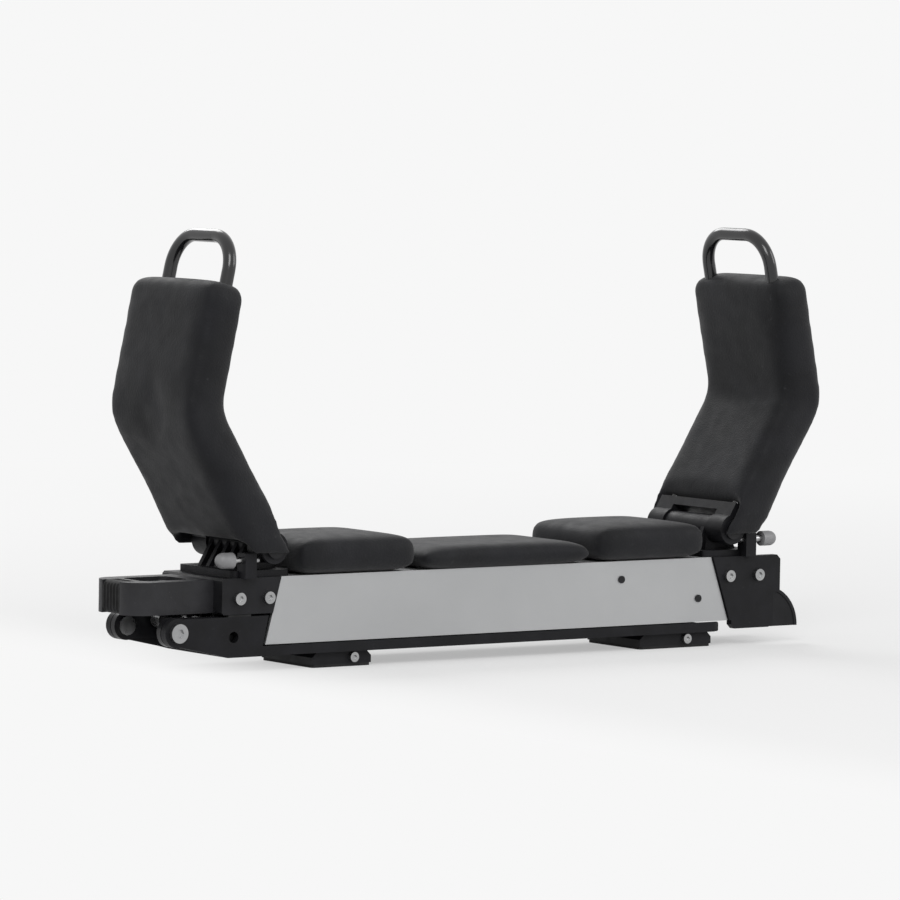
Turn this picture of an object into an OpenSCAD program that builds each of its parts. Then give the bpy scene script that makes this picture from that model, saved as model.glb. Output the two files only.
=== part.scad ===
// Lift-assist kayak carrier: one saddle unit that bolts along a roof bar.
// X runs along the roof bar, with the outer, handle end at -X.
// Y runs along the vehicle and Z is up. The bar's top face is Z = 0.
// The origin is midway between the two roof bar bolts.
// All sizes are in millimetres.

/* [Base] */
// Distance between the two roof bar bolts
bolt_pitch = 380; // [360:5:390]
// Radius of each roof bar bolt hole
bolt_hole_r = 4.25; // [3.25:0.25:5.25]
// Height of the feet under the rail, with their soles
foot_h = 14; // [12:1:20]
// Thickness of the rubber sole under each foot
sole_t = 2.5; // [1.5:0.5:4]
// Length of the outer foot along the bar
outer_foot_l = 64; // [50:2:70]
// Length of the inner foot along the bar
inner_foot_l = 84; // [60:2:90]
// Width of both feet across the bar
foot_w = 80; // [60:2:88]
// Height of the rail's side walls
rail_h = 9; // [8:0.5:10]
// Thickness of the rail's floor and side walls
rail_wall = 3; // [2:0.5:3.5]
// Distance from the bolts' middle out to the main pivots
pivot_out = 371; // [366:1:376]
// Height of the main pivots over the rail's underside
pivot_rise = 24; // [23.5:0.5:25]
// Thickness of each outer cheek of the pivot housing
cheek_t = 7; // [5:0.5:9]
// Thickness of each inner web of the pivot housing
web_t = 8; // [7.5:0.5:10]
// Radius of the nose round the main pivot
nose_r = 13; // [12:0.5:13.5]

/* [Lift arms and link] */
// Distance between the two pivots of a lift arm
arm_reach = 633; // [625:1:640]
// Depth of a lift arm's plate
arm_h = 24; // [22:1:25]
// Thickness of a lift arm's plate
arm_t = 6; // [5:0.5:8]
// Radius of the main and heel pivot pins
pin_r = 6; // [5:0.25:6.5]
// Wall of the bushes in the lift arms
bush_wall = 2.5; // [1.5:0.25:3]
// Thickness of the level link
link_t = 10; // [8:1:12]
// Depth of the level link
link_h = 16; // [14:1:17]
// Distance of the link's pivot inward of the main pivot
link_dx = 28; // [27:0.5:29]
// Distance of the link's pivot below the main pivot
link_dz = 9; // [8:0.5:9.5]
// Radius of the link's pins
link_pin_r = 4.5; // [3.5:0.25:5]

/* [Gas struts] */
// Diameter of a strut's cylinder
strut_d = 16; // [14:0.5:18]
// Wall of a strut's cylinder
strut_wall = 1.5; // [1:0.25:2]
// Diameter of a strut's rod
strut_rod_d = 8; // [6:0.5:9]
// Distance of the strut's stud from the main pivot, along the lift arm
strut_seat = 450; // [440:5:460]
// Length of a strut's cylinder
strut_body_l = 270; // [240:5:280]
// Distance of the strut's base pivot inward of the main pivot
strut_dx = 29.5; // [28:0.5:31]
// Distance of the strut's base pivot over the main pivot
strut_dz = 5.2; // [4.8:0.1:5.6]

/* [Cradle] */
// Height of the cradle's channel
channel_h = 60; // [58:1:64]
// Wall of the cradle's channel
channel_wall = 3; // [2:0.25:3.5]
// Distance from the main pivot to the channel's lower outer corner
channel_setback = 94; // [92:1:98]
// Distance from the heel pivot back to the channel's lower inner corner
heel_setback = 15; // [14:0.5:18]
// Slant of the channel's outer end, from its foot to its top
outer_slant = 16; // [10:1:20]
// Slant of the channel's inner end, from its foot to its top
inner_slant = 21; // [15:1:24]
// Length of the outer end block over the channel's top corner
end_block_l = 64; // [62:1:68]
// Length of the handle past the end block
handle_l = 85; // [80:1:95]
// Width of the handle across the bar
handle_w = 68; // [60:1:80]
// Height of the handle
handle_h = 29; // [25:1:30]
// Radius of the handle's outer corners
handle_corner_r = 20; // [12:1:24]
// Thickness of the handle's two side bars
handle_bar_t = 15; // [12:1:18]
// Depth of the bar that the hand holds
grip_t = 22; // [18:1:26]
// Travel of the release trigger
trigger_travel = 5; // [4:0.5:6]

/* [Padded arms] */
// Height of the arm hinges over the channel's top
hinge_rise = 26; // [25:1:28]
// Distance of the outer hinge inward of the channel's lower corner
outer_hinge_in = 2; // [1:0.5:4]
// Distance of the inner hinge inward of the channel's lower corner
inner_hinge_in = 4; // [2:0.5:6]
// Distance from a hinge to the arm's knee
lower_arm_l = 142; // [130:1:150]
// Distance from the knee to the middle of the loop's top bar
upper_arm_l = 156; // [145:1:165]
// Outward lean of the arm below its knee, in degrees
lower_lean = 31; // [28:0.5:33]
// Inward lean of the arm above its knee, in degrees
upper_lean = 12; // [8:0.5:14]
// Radius of the arm's bent rod
rod_r = 6; // [5:0.25:6.5]
// Distance between the two legs of the rod
leg_pitch = 92; // [88:1:94]
// Radius of the bends at the loop's top
loop_bend_r = 30; // [20:1:34]
// Width of the foam pads
pad_w = 118; // [116:1:124]
// Foam on the kayak's side of the rod's middle
pad_inside = 14; // [12:0.5:16]
// Foam behind the rod's middle
pad_outside = 28; // [22:1:30]
// Distance from the knee to the foam's top end
pad_top = 110; // [100:1:116]
// Radius of the foam's knee on its outer side
pad_knee_r = 26; // [10:1:27]
// Length of each lower pad along the channel
low_pad_l = 130; // [110:2:134]
// Height of each lower pad
low_pad_h = 34; // [26:1:34]
// Height of the middle pad
mid_pad_h = 20; // [12:1:24]
// Radius of the lower pads' top corners
low_pad_r = 12; // [8:1:13]
// Travel of the arm locks
lock_travel = 7; // [5:0.5:8]

/* [Clearances] */
// Radial running clearance of every pin
pin_gap = 0.05; // [0.03:0.01:0.08]
// Side gap between plates that swing past each other
side_gap = 1; // [0.6:0.1:1.2]
// Side gap between the struts and their neighbours
strut_gap = 2; // [1.5:0.25:2.5]
// Gap between the lift arms and the channel's walls
arm_gap = 3; // [2.5:0.25:4]
// Gap of parts that slide together by hand
seat_gap = 0.3; // [0.2:0.05:0.4]

/* [Hidden] */
$fn = 64;

black = [0.09, 0.09, 0.10];
charcoal = [0.20, 0.20, 0.22];
silver = [0.74, 0.75, 0.76];
bright = [0.82, 0.83, 0.84];
rubber = [0.13, 0.13, 0.13];
cut = 1;

// Places of the plates across the unit, each worked out from the one inside it
web_in = link_t / 2 + side_gap;
web_out = web_in + web_t;
strut_y = web_out + strut_gap + strut_d / 2;
arm_in = strut_y + strut_d / 2 + strut_gap;
arm_out = arm_in + arm_t;
cheek_in = arm_out + side_gap;
cheek_out = cheek_in + cheek_t;
channel_in = arm_out + arm_gap;
channel_half = channel_in + channel_wall;

// Heights and places along the bar
rail_x0 = -pivot_out + channel_setback + 15;
rail_x1 = bolt_pitch / 2 + inner_foot_l / 2;
rail_z = foot_h;
floor_z = rail_z + rail_wall;
channel_z = rail_z + rail_h + side_gap;
top_z = channel_z + channel_h;
pivot_z = rail_z + pivot_rise;
main_p = [-pivot_out, pivot_z];
heel_p = [arm_reach - pivot_out, pivot_z];
link_offset = [link_dx, -link_dz];
link_p = main_p + link_offset;
link_end = heel_p + link_offset;
strut_base = main_p + [strut_dx, strut_dz];
strut_top = main_p + [strut_seat, 0];
channel_x0 = main_p.x + channel_setback;
channel_x1 = heel_p.x - heel_setback;

// Feet
nut_r = 8;
nut_t = 7;
side_screw_r = 2.5;
side_screw_l = 10;

// Pivot housing
housing_floor_l = 56;
housing_x0 = rail_x0 - housing_floor_l;
housing_floor_t = 4;
prong_l = 36;
prong_t = 3;
prong_in = 16;
cheek_top = pivot_z + nose_r - 1;
cheek_clear = 4;
striker_p = [main_p.x + 73, cheek_top - 4.5];
striker_r = 2.5;
claw_slot = [8, 12];
buffer_l = 24;

// Outer end block, handle and latch
block_gap = 2;
block_z = cheek_top + block_gap;
block_x1_top = channel_x0 + outer_slant - side_gap;
block_x0 = block_x1_top + side_gap - end_block_l;
block_wall = 7;
block_roof = 3;
plug_l = 46;
plug_z = block_z + block_gap;
handle_z = block_z + 1;
handle_x0 = block_x0 - handle_l;
tang_t = 10;
tang_out = handle_w / 2;
block_bolt_x = [block_x0 + 18, block_x0 + 49];
tang_l = block_bolt_x[1] + 7 - block_x0;
bolt_z = block_z + 14;
bolt_shank_r = 3;
bolt_head_r = 5.5;
bolt_head_t = 3.5;
latch_p = [striker_p.x - 4, top_z - 10];
crank_l = 13;
crank_p = latch_p - [0, crank_l];
latch_r = 4;
crank_pin_r = 2;
claw_t = 3.4;
claw_toe = striker_p.x - striker_r - 1;
claw_stem_w = 6;
claw_drop = 5;
trigger_rod_r = 3;
finger_x = block_x0 - 27;
finger_t = 6;
handle_wall = 15;

// Heel bracket
heel_plate_t = 5;
heel_bridge_x = heel_p.x - 12;
heel_top_l = 46;
heel_leg = [-12, 38];
heel_foot_z = rail_z + 2;
heel_step_z = pivot_z + 12;
heel_bolt_x = [heel_p.x - 16, heel_p.x + 19];

// Padded arms, drawn in a frame with the hinge at its origin
hinge_z = top_z + hinge_rise;
hinge_out_x = channel_x0 + outer_hinge_in;
hinge_in_x = channel_x1 - inner_hinge_in;
knuckle_in = 33;
knuckle_out = leg_pitch / 2 + rod_r + 4;
knuckle_r = 14;
barrel_r = 12;
barrel_half = knuckle_in - side_gap;
hub_end = 23.5;
hub_half_t = 10;
socket_start = 7.5;
pad_start = hub_end + 0.5;
lower_dir = [-sin(lower_lean), cos(lower_lean)];
upper_dir = [sin(upper_lean), cos(upper_lean)];
lower_in = [cos(lower_lean), sin(lower_lean)];
upper_in = [cos(upper_lean), -sin(upper_lean)];
knee = lower_arm_l * lower_dir;
loop_top = knee + upper_arm_l * upper_dir;
half_bend = (lower_lean + upper_lean) / 2;
knee_in = (lower_in + upper_in) / norm(lower_in + upper_in);
bracket_x = [-36, 25];
bracket_plate_t = 6;
bracket_half = 44;
lock_drop = 10;
lock_y = -48;
lock_notch = -5;
lock_r = 3;
lock_tip = -12.7;
post_x = [-30, -18];
post_half = 6.5;
knob_r = 7;
knob_l = 14;
knob_x = post_x[0] - 10;
low_pad_x = 28;

// A flat shape in X and Z, thick from y0 to y1
module slab(y0, y1) {
    translate([0, y1, 0])
        rotate([90, 0, 0])
            linear_extrude(y1 - y0)
                children();
}

// A round bar along Y, from y0 to y1, through the point p in X and Z
module y_bar(p, r, y0, y1) {
    translate([p.x, y1, p.y])
        rotate([90, 0, 0])
            cylinder(r = r, h = y1 - y0);
}

// A round bar along X, from x0 to x1
module x_bar(r, x0, x1) {
    translate([x0, 0, 0])
        rotate([0, 90, 0])
            cylinder(r = r, h = x1 - x0);
}

// Two discs with their straight outer tangents
module strap(p, q, rp, rq) {
    u = (q - p) / norm(q - p);
    n = [-u.y, u.x];
    s = (rp - rq) / norm(q - p);
    c = sqrt(1 - s * s);
    polygon([p + rp * (s * u + c * n), q + rq * (s * u + c * n),
        q + rq * (s * u - c * n), p + rp * (s * u - c * n)]);
    translate(p)
        circle(rp);
    translate(q)
        circle(rq);
}

// A straight bar between two round eyes that are a little wider than the bar
module eye_bar(p, q, h, eye_r) {
    translate([p.x, p.y - h / 2])
        square([q.x - p.x, h]);
    translate(p)
        circle(eye_r);
    translate(q)
        circle(eye_r);
}

// A rectangle with four round corners
module soft_rect(x0, y0, x1, y1, r) {
    translate([x0 + r, y0])
        square([x1 - x0 - 2 * r, y1 - y0]);
    translate([x0, y0 + r])
        square([x1 - x0, y1 - y0 - 2 * r]);
    for (x = [x0 + r, x1 - r])
        for (y = [y0 + r, y1 - r])
            translate([x, y])
                circle(r);
}

// The front half and its mirror image at the rear
module both_sides() {
    children();
    mirror([0, 1, 0])
        children();
}

// A bolt head with a hexagon socket, on the outside of a face at y
module side_bolt(p, y, depth, shank_r, head_r, head_t) {
    y_bar(p, shank_r, y - depth, y + head_t / 2);
    difference() {
        y_bar(p, head_r, y, y + head_t);
        translate([p.x, y + head_t + cut, p.y])
            rotate([90, 0, 0])
                cylinder(r = head_r * 0.5, h = cut + head_t * 0.6, $fn = 6);
    }
}

// Base

module base_rail() {
    slot_l = 56;
    slot_r = 9;
    color(black)
        difference() {
            translate([rail_x0, -channel_half, rail_z])
                cube([rail_x1 - rail_x0, 2 * channel_half, rail_h]);
            translate([rail_x0 - cut, -channel_in, floor_z])
                cube([rail_x1 - rail_x0 + 2 * cut, 2 * channel_in, rail_h]);
            for (x = [-bolt_pitch / 2, bolt_pitch / 2])
                translate([x, 0, rail_z - cut])
                    cylinder(r = nut_r, h = rail_wall + 2 * cut);
            rail_screw_places()
                translate([0, 0, rail_z - cut])
                    cylinder(r = bolt_shank_r + pin_gap, h = rail_wall + 2 * cut);
            for (x = [-1, 0, 1])
                for (y = [-1, 1])
                    translate([x * bolt_pitch / 4, y * channel_in / 2, rail_z - cut])
                        linear_extrude(rail_wall + 2 * cut)
                            strap([-slot_l / 2, 0], [slot_l / 2, 0], slot_r, slot_r);
            housing_screw_places()
                translate([0, 0, rail_z - cut])
                    cylinder(r = bolt_shank_r + pin_gap, h = rail_wall + 2 * cut);
        }
}

module housing_screw_places() {
    for (y = [-1, 1])
        translate([rail_x0 + prong_l / 2, y * (prong_in + channel_in) / 2, 0])
            children();
}

module housing_cheek() {
    difference() {
        union() {
            translate(main_p)
                circle(nose_r);
            polygon([[main_p.x, pivot_z - nose_r + 1], [housing_x0 - 12, rail_z + 3],
                [housing_x0, rail_z], [rail_x0, rail_z], [rail_x0, rail_z + rail_h],
                [channel_x0 - cheek_clear, rail_z + rail_h],
                [channel_x0 + outer_slant / 2 - cheek_clear - 2, cheek_top],
                [main_p.x, cheek_top]]);
        }
        translate(main_p)
            circle(pin_r + pin_gap);
        translate([housing_x0 + 6, rail_z + 18])
            circle(5);
    }
}

module housing_web() {
    lug_w = 11;
    difference() {
        union() {
            strap(link_p, striker_p - [0, 22], link_pin_r + 4, 7);
            strap(link_p, strut_base, link_pin_r + 4, 6.5);
            strap(striker_p - [0, 22], striker_p, lug_w, 5);
            translate([housing_x0, rail_z])
                square([housing_floor_l - 10, 12]);
        }
        translate(link_p)
            circle(link_pin_r + pin_gap);
        translate(striker_p)
            circle(striker_r + pin_gap);
        translate([housing_x0 - 60, rail_z - 30])
            square([housing_floor_l + 80, 30]);
    }
}

module pivot_housing() {
    color(black)
        difference() {
            union() {
                translate([housing_x0, -cheek_out, rail_z])
                    cube([housing_floor_l, 2 * cheek_out, housing_floor_t]);
                both_sides() {
                    slab(cheek_in, cheek_out)
                        housing_cheek();
                    slab(web_in, web_out)
                        housing_web();
                    y_bar(strut_base, 6.5, web_out, web_out + strut_gap - seat_gap);
                    translate([rail_x0 - cut, prong_in, floor_z])
                        cube([prong_l + cut, channel_in - seat_gap - prong_in, prong_t]);
                }
            }
            both_sides()
                translate([striker_p.x - 26, claw_slot[0], cheek_top - 13])
                    cube([36, claw_slot[1] - claw_slot[0], 40]);
            housing_screw_places()
                translate([0, 0, rail_z])
                    cylinder(r = bolt_shank_r + pin_gap, h = 20);
        }
}

// Two screws through the rail's floor into each foot
module rail_screw_places() {
    for (f = [-bolt_pitch / 2, bolt_pitch / 2])
        for (y = [-1, 1])
            translate([f, y * (foot_w / 2 - 14), 0])
                children();
}

module rail_screws() {
    color(bright)
        rail_screw_places()
            difference() {
                union() {
                    translate([0, 0, sole_t + 2])
                        cylinder(r = bolt_shank_r, h = floor_z - sole_t - 2 + 0.5);
                    translate([0, 0, floor_z])
                        cylinder(r1 = bolt_head_r, r2 = bolt_head_r - 1.5, h = 2.5);
                }
                translate([0, 0, floor_z + 1])
                    cylinder(r = 2, h = 3, $fn = 6);
            }
}

module housing_screws() {
    color(bright)
        housing_screw_places()
            difference() {
                union() {
                    translate([0, 0, rail_z])
                        cylinder(r = bolt_shank_r, h = rail_wall + prong_t + 0.5);
                    translate([0, 0, floor_z + prong_t])
                        cylinder(r1 = bolt_head_r, r2 = bolt_head_r - 1.5, h = 2.5);
                }
                translate([0, 0, floor_z + prong_t + 1.5])
                    cylinder(r = 2, h = 3, $fn = 6);
            }
}

module foot(x, l) {
    toe = 5;
    difference() {
        translate([x, 0, 0])
            slab(-foot_w / 2, foot_w / 2)
                polygon([[-l / 2, sole_t], [l / 2, sole_t], [l / 2, rail_z - toe],
                    [l / 2 - toe, rail_z], [-l / 2 + toe, rail_z], [-l / 2, rail_z - toe]]);
        translate([x, 0, 0])
            cylinder(r = bolt_hole_r, h = rail_z + cut);
        translate([x, 0, rail_z - nut_t])
            cylinder(r = nut_r, h = nut_t + cut);
        foot_screw_place(x)
            y_bar([0, 0], side_screw_r + pin_gap, foot_w / 2 - side_screw_l, foot_w / 2 + cut);
        for (y = [-1, 1])
            translate([x, y * (foot_w / 2 - 14), sole_t + 2])
                cylinder(r = bolt_shank_r + pin_gap, h = rail_z);
        for (s = [-1, 1])
            translate([x + s * (l / 2 - 13), 0, rail_z / 2])
                linear_extrude(rail_z)
                    strap([0, -16], [0, 16], 4, 4);
    }
}

// One screw in each long side of a foot
module foot_screw_place(x) {
    both_sides()
        translate([x + 12, 0, (rail_z + sole_t) / 2])
            children();
}

module outer_bar_foot() {
    color(black)
        foot(-bolt_pitch / 2, outer_foot_l);
}

module inner_bar_foot() {
    color(black)
        foot(bolt_pitch / 2, inner_foot_l);
}

module foot_soles() {
    color(rubber)
        for (f = [[-bolt_pitch / 2, outer_foot_l], [bolt_pitch / 2, inner_foot_l]])
            difference() {
                translate([f[0], 0, 0])
                    linear_extrude(sole_t)
                        soft_rect(-f[1] / 2, -foot_w / 2, f[1] / 2, foot_w / 2, 4);
                translate([f[0], 0, -cut])
                    cylinder(r = bolt_hole_r, h = sole_t + 2 * cut);
            }
}

module foot_screws() {
    color(bright)
        for (x = [-bolt_pitch / 2, bolt_pitch / 2])
            foot_screw_place(x)
                side_bolt([0, 0], foot_w / 2, side_screw_l - 1, side_screw_r, 4.5, 3.5);
}

module rail_end_cap() {
    cap_t = 4;
    tongue_l = 8;
    tongue_t = 2.5;
    color(rubber) {
        difference() {
            translate([rail_x1, 0, 0])
                rotate([90, 0, 90])
                    linear_extrude(cap_t)
                        soft_rect(-channel_half, rail_z, channel_half, rail_z + rail_h, 2);
            translate([rail_x1 - cut, -channel_in + seat_gap, floor_z + tongue_t])
                cube([cap_t + 2 * cut, 2 * (channel_in - seat_gap), rail_h]);
        }
        translate([rail_x1 - tongue_l, -channel_in + seat_gap, floor_z])
            cube([tongue_l + cut, 2 * (channel_in - seat_gap), tongue_t]);
    }
}

module rest_buffers() {
    color(rubber)
        both_sides()
            translate([striker_p.x - 20, cheek_in, cheek_top])
                cube([buffer_l, cheek_t, block_gap - seat_gap]);
}

module striker_pins() {
    color(bright)
        both_sides()
            y_bar(striker_p, striker_r, web_in, web_out);
}

module main_pivot_pins() {
    color(bright)
        both_sides() {
            y_bar(main_p, pin_r + 2.5, arm_in - 2, arm_in - seat_gap);
            side_bolt(main_p, cheek_out, cheek_out - arm_in + 1, pin_r, pin_r + 2.5, 4);
        }
}

module link_base_pin() {
    color(bright) {
        y_bar(link_p, link_pin_r, -web_out, web_out);
        both_sides()
            y_bar(link_p, link_pin_r + 1.2, web_out, web_out + 1.4);
    }
}

// Lift arms

module lift_arm() {
    color(black)
        slab(arm_in, arm_out)
            difference() {
                eye_bar(main_p, heel_p, arm_h, nose_r);
                translate(main_p)
                    circle(pin_r + bush_wall + pin_gap);
                translate(heel_p)
                    circle(pin_r + bush_wall + pin_gap);
                translate(strut_top)
                    circle(link_pin_r + pin_gap);
                for (x = [90, 210, 330, 530])
                    strap(main_p + [x - 32, 0], main_p + [x + 32, 0], 4.5, 4.5);
            }
}

module lift_arm_front() {
    mirror([0, 1, 0])
        lift_arm();
}

module lift_arm_rear() {
    lift_arm();
}

module bush(p) {
    color(silver)
        difference() {
            y_bar(p, pin_r + bush_wall, arm_in, arm_out + side_gap / 2);
            y_bar(p, pin_r + pin_gap, arm_in - cut, arm_out + side_gap);
        }
}

module main_bushes() {
    both_sides()
        bush(main_p);
}

module heel_bushes() {
    both_sides()
        bush(heel_p);
}

module strut_studs() {
    color(bright)
        both_sides() {
            y_bar(strut_top, link_pin_r, strut_y - strut_d / 2, arm_out);
            y_bar(strut_top, link_pin_r + 2, arm_out, arm_out + side_gap / 2);
        }
}

// Level link

module level_link() {
    color(black)
        slab(-link_t / 2, link_t / 2)
            difference() {
                eye_bar(link_p, link_end, link_h, link_h / 2 + 0.5);
                for (p = [link_p, link_end])
                    translate(p)
                        circle(link_pin_r + 1.5 + pin_gap);
                for (x = [0.2, 0.4, 0.6, 0.8])
                    translate(link_p + [x * arm_reach, 0])
                        strap([-24, 0], [24, 0], 3, 3);
            }
}

module link_bushes() {
    color(silver)
        for (p = [link_p, link_end])
            difference() {
                y_bar(p, link_pin_r + 1.5, -link_t / 2 - side_gap / 2, link_t / 2 + side_gap / 2);
                y_bar(p, link_pin_r + pin_gap, -link_t, link_t);
            }
}

// Gas struts, drawn along X from the stud on the lift arm

strut_v = strut_base - strut_top;
strut_l = norm(strut_v);
strut_turn = atan2(strut_v.y, strut_v.x);
strut_body_x = strut_d / 2 + 10;
guide_l = 8;

module strut_place() {
    translate([strut_top.x, strut_y, strut_top.y])
        rotate([0, -strut_turn, 0])
            children();
}

module strut_cylinder() {
    mouth_x = strut_body_x + strut_body_l;
    strut_place() {
        color(black)
            difference() {
                union() {
                    x_bar(strut_d / 2, strut_body_x, mouth_x);
                    x_bar(strut_d / 2 - 3.5, strut_d / 2 - 3, strut_body_x + cut);
                    translate([0, -strut_d / 2 + 1, 0])
                        rotate([-90, 0, 0])
                            cylinder(r = strut_d / 2, h = strut_d - 2);
                }
                x_bar(strut_d / 2 - strut_wall, strut_body_x + 6, mouth_x - guide_l);
                x_bar(strut_rod_d / 2 + pin_gap, mouth_x - guide_l - cut, mouth_x + cut);
                rotate([90, 0, 0])
                    cylinder(r = link_pin_r + pin_gap, h = 2 * strut_d, center = true);
            }
    }
}

module strut_rod() {
    piston_x = strut_body_x + strut_body_l * 0.45;
    strut_place() {
        color(bright) {
            x_bar(strut_rod_d / 2, piston_x, strut_l - 7);
            x_bar(strut_d / 2 - strut_wall - 0.1, piston_x, piston_x + 10);
        }
        color(black)
            difference() {
                union() {
                    x_bar(strut_rod_d / 2 + 2, strut_l - 22, strut_l - 6);
                    translate([strut_l, -strut_d / 2, 0])
                        rotate([-90, 0, 0])
                            cylinder(r = 7.5, h = strut_d - 2);
                }
                translate([strut_l, 0, 0])
                    rotate([90, 0, 0])
                        cylinder(r = 3.5, h = 2 * strut_d, center = true);
            }
    }
}

module strut_cylinder_front() {
    mirror([0, 1, 0])
        strut_cylinder();
}

module strut_cylinder_rear() {
    strut_cylinder();
}

module strut_rod_front() {
    mirror([0, 1, 0])
        strut_rod();
}

module strut_rod_rear() {
    strut_rod();
}

// Cradle

module channel_side() {
    polygon([[channel_x0, channel_z], [channel_x1, channel_z],
        [channel_x1 - inner_slant, top_z], [channel_x0 + outer_slant, top_z]]);
}

rivet_p = [[channel_x1 - 127, channel_z + 43], [channel_x1 - 36, channel_z + 22]];
rivet_r = 2;

module cradle_channel() {
    color(silver)
        difference() {
            slab(-channel_half, channel_half)
                channel_side();
            translate([channel_x0 - cut, -channel_in, channel_z - cut])
                cube([channel_x1 - channel_x0 + 2 * cut, 2 * channel_in,
                    channel_h - channel_wall + cut]);
            for (p = rivet_p)
                y_bar(p, rivet_r + pin_gap, -channel_half - cut, channel_half + cut);
        }
}

module panel_rivets() {
    color(black)
        both_sides()
            for (p = rivet_p) {
                y_bar(p, rivet_r, channel_in - seat_gap, channel_half + 0.5);
                y_bar(p, rivet_r + 1.5, channel_half, channel_half + 1.2);
            }
}

module outer_end_block() {
    cavity_x1 = block_x1_top - outer_slant / 2 - 3;
    foot_x = channel_x0 + outer_slant * (block_z - channel_z) / channel_h - side_gap;
    claw_wall = 2.5;
    color(black)
        difference() {
            union() {
                slab(-cheek_out, cheek_out)
                    polygon([[block_x0, block_z + 2], [block_x0 + 2, block_z], [foot_x, block_z],
                        [block_x1_top, top_z], [block_x0 + 2, top_z], [block_x0, top_z - 2]]);
                translate([foot_x - cut, -channel_in + seat_gap, plug_z])
                    cube([plug_l, 2 * (channel_in - seat_gap), top_z - channel_wall - seat_gap - plug_z]);
            }
            difference() {
                translate([block_x0 + block_wall, -tang_out - seat_gap, block_z - cut])
                    cube([cavity_x1 - block_x0 - block_wall, 2 * (tang_out + seat_gap),
                        top_z - block_roof - block_z + cut]);
                both_sides()
                    slab(claw_slot[1] + 1, claw_slot[1] + 6)
                        polygon([[latch_p.x - 6, latch_p.y - 6], [latch_p.x + 6, latch_p.y - 6],
                            [latch_p.x + 10, top_z], [latch_p.x - 10, top_z]]);
            }
            translate([cavity_x1 + 8, -channel_in + 8, plug_z - cut])
                cube([plug_l, 2 * (channel_in - 8), top_z - channel_wall - 4 - plug_z]);
            both_sides() {
                translate([block_x0 - cut, tang_out - tang_t - seat_gap, handle_z + 3])
                    cube([tang_l + seat_gap + cut, tang_t + 2 * seat_gap, handle_h - 6 + seat_gap]);
                for (x = block_bolt_x)
                    y_bar([x, bolt_z], bolt_shank_r + pin_gap, tang_out - cut, cheek_out + cut);
            }
            y_bar(latch_p, latch_r + pin_gap, -claw_slot[1] - 6 - cut, claw_slot[1] + 6 + cut);
            translate([block_x0 + claw_wall, -claw_slot[1] - 1, block_z - cut])
                cube([block_wall, 2 * (claw_slot[1] + 1), crank_p.y - trigger_rod_r - block_z]);
            translate([0, 0, crank_p.y])
                x_bar(trigger_rod_r + pin_gap, block_x0 - cut, block_x0 + block_wall + cut);
        }
}

module handle_plan() {
    difference() {
        soft_rect(handle_x0, -handle_w / 2, block_x0 + handle_corner_r, handle_w / 2,
            handle_corner_r);
        translate([block_x0, -handle_w])
            square(2 * handle_w);
    }
}

module handle_frame() {
    inner_half = handle_w / 2 - handle_bar_t;
    color(charcoal)
        difference() {
            union() {
                translate([0, 0, handle_z])
                    linear_extrude(handle_h)
                        handle_plan();
                both_sides()
                    translate([block_x0 - cut, tang_out - tang_t, handle_z + 3 + seat_gap])
                        cube([tang_l + cut, tang_t, handle_h - 6 - seat_gap]);
            }
            translate([0, 0, handle_z - cut])
                linear_extrude(handle_h + 2 * cut)
                    soft_rect(handle_x0 + grip_t, -inner_half, block_x0 - handle_wall,
                        inner_half, 8);
            translate([handle_x0 - cut, -handle_w / 2 + handle_corner_r, handle_z - cut])
                cube([grip_t - 6 + cut, handle_w - 2 * handle_corner_r, handle_h + 2 * cut]);
            both_sides()
                for (x = block_bolt_x)
                    y_bar([x, bolt_z], bolt_shank_r + pin_gap, 0, tang_out + cut);
            translate([0, 0, crank_p.y])
                x_bar(trigger_rod_r + pin_gap, block_x0 - handle_wall - 10, block_x0 + cut);
        }
}

module handle_grip() {
    half = handle_w / 2 - handle_corner_r - seat_gap;
    groove_r = 1.6;
    color(rubber)
        difference() {
            slab(-half, half)
                soft_rect(handle_x0, handle_z, handle_x0 + grip_t - 6 - seat_gap,
                    handle_z + handle_h, 6);
            for (y = [-2, -1, 0, 1, 2])
                translate([handle_x0, y * 5, handle_z - cut])
                    cylinder(r = groove_r, h = handle_h + 2 * cut);
        }
}

module end_block_bolts() {
    color(bright)
        both_sides()
            for (x = block_bolt_x)
                side_bolt([x, bolt_z], cheek_out, cheek_out - tang_out + tang_t - 2,
                    bolt_shank_r, bolt_head_r, bolt_head_t);
}

module heel_cheek() {
    x_top = channel_x1 - inner_slant + side_gap;
    x_end = heel_p.x + heel_top_l;
    x_foot = [heel_p.x + heel_leg[0], heel_p.x + heel_leg[1]];
    difference() {
        polygon([[x_top, top_z], [x_end - 4, top_z], [x_end, top_z - 4], [x_end, heel_step_z],
            [x_foot[1], heel_step_z - 2], [x_foot[1], heel_foot_z + 5],
            [x_foot[1] - 5, heel_foot_z], [x_foot[0] + 4, heel_foot_z],
            [x_foot[0], heel_foot_z + 4], [x_foot[0], channel_z],
            [channel_x1 + side_gap, channel_z]]);
        for (x = heel_bolt_x)
            translate([x, bolt_z])
                circle(bolt_shank_r + pin_gap);
    }
}

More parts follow.
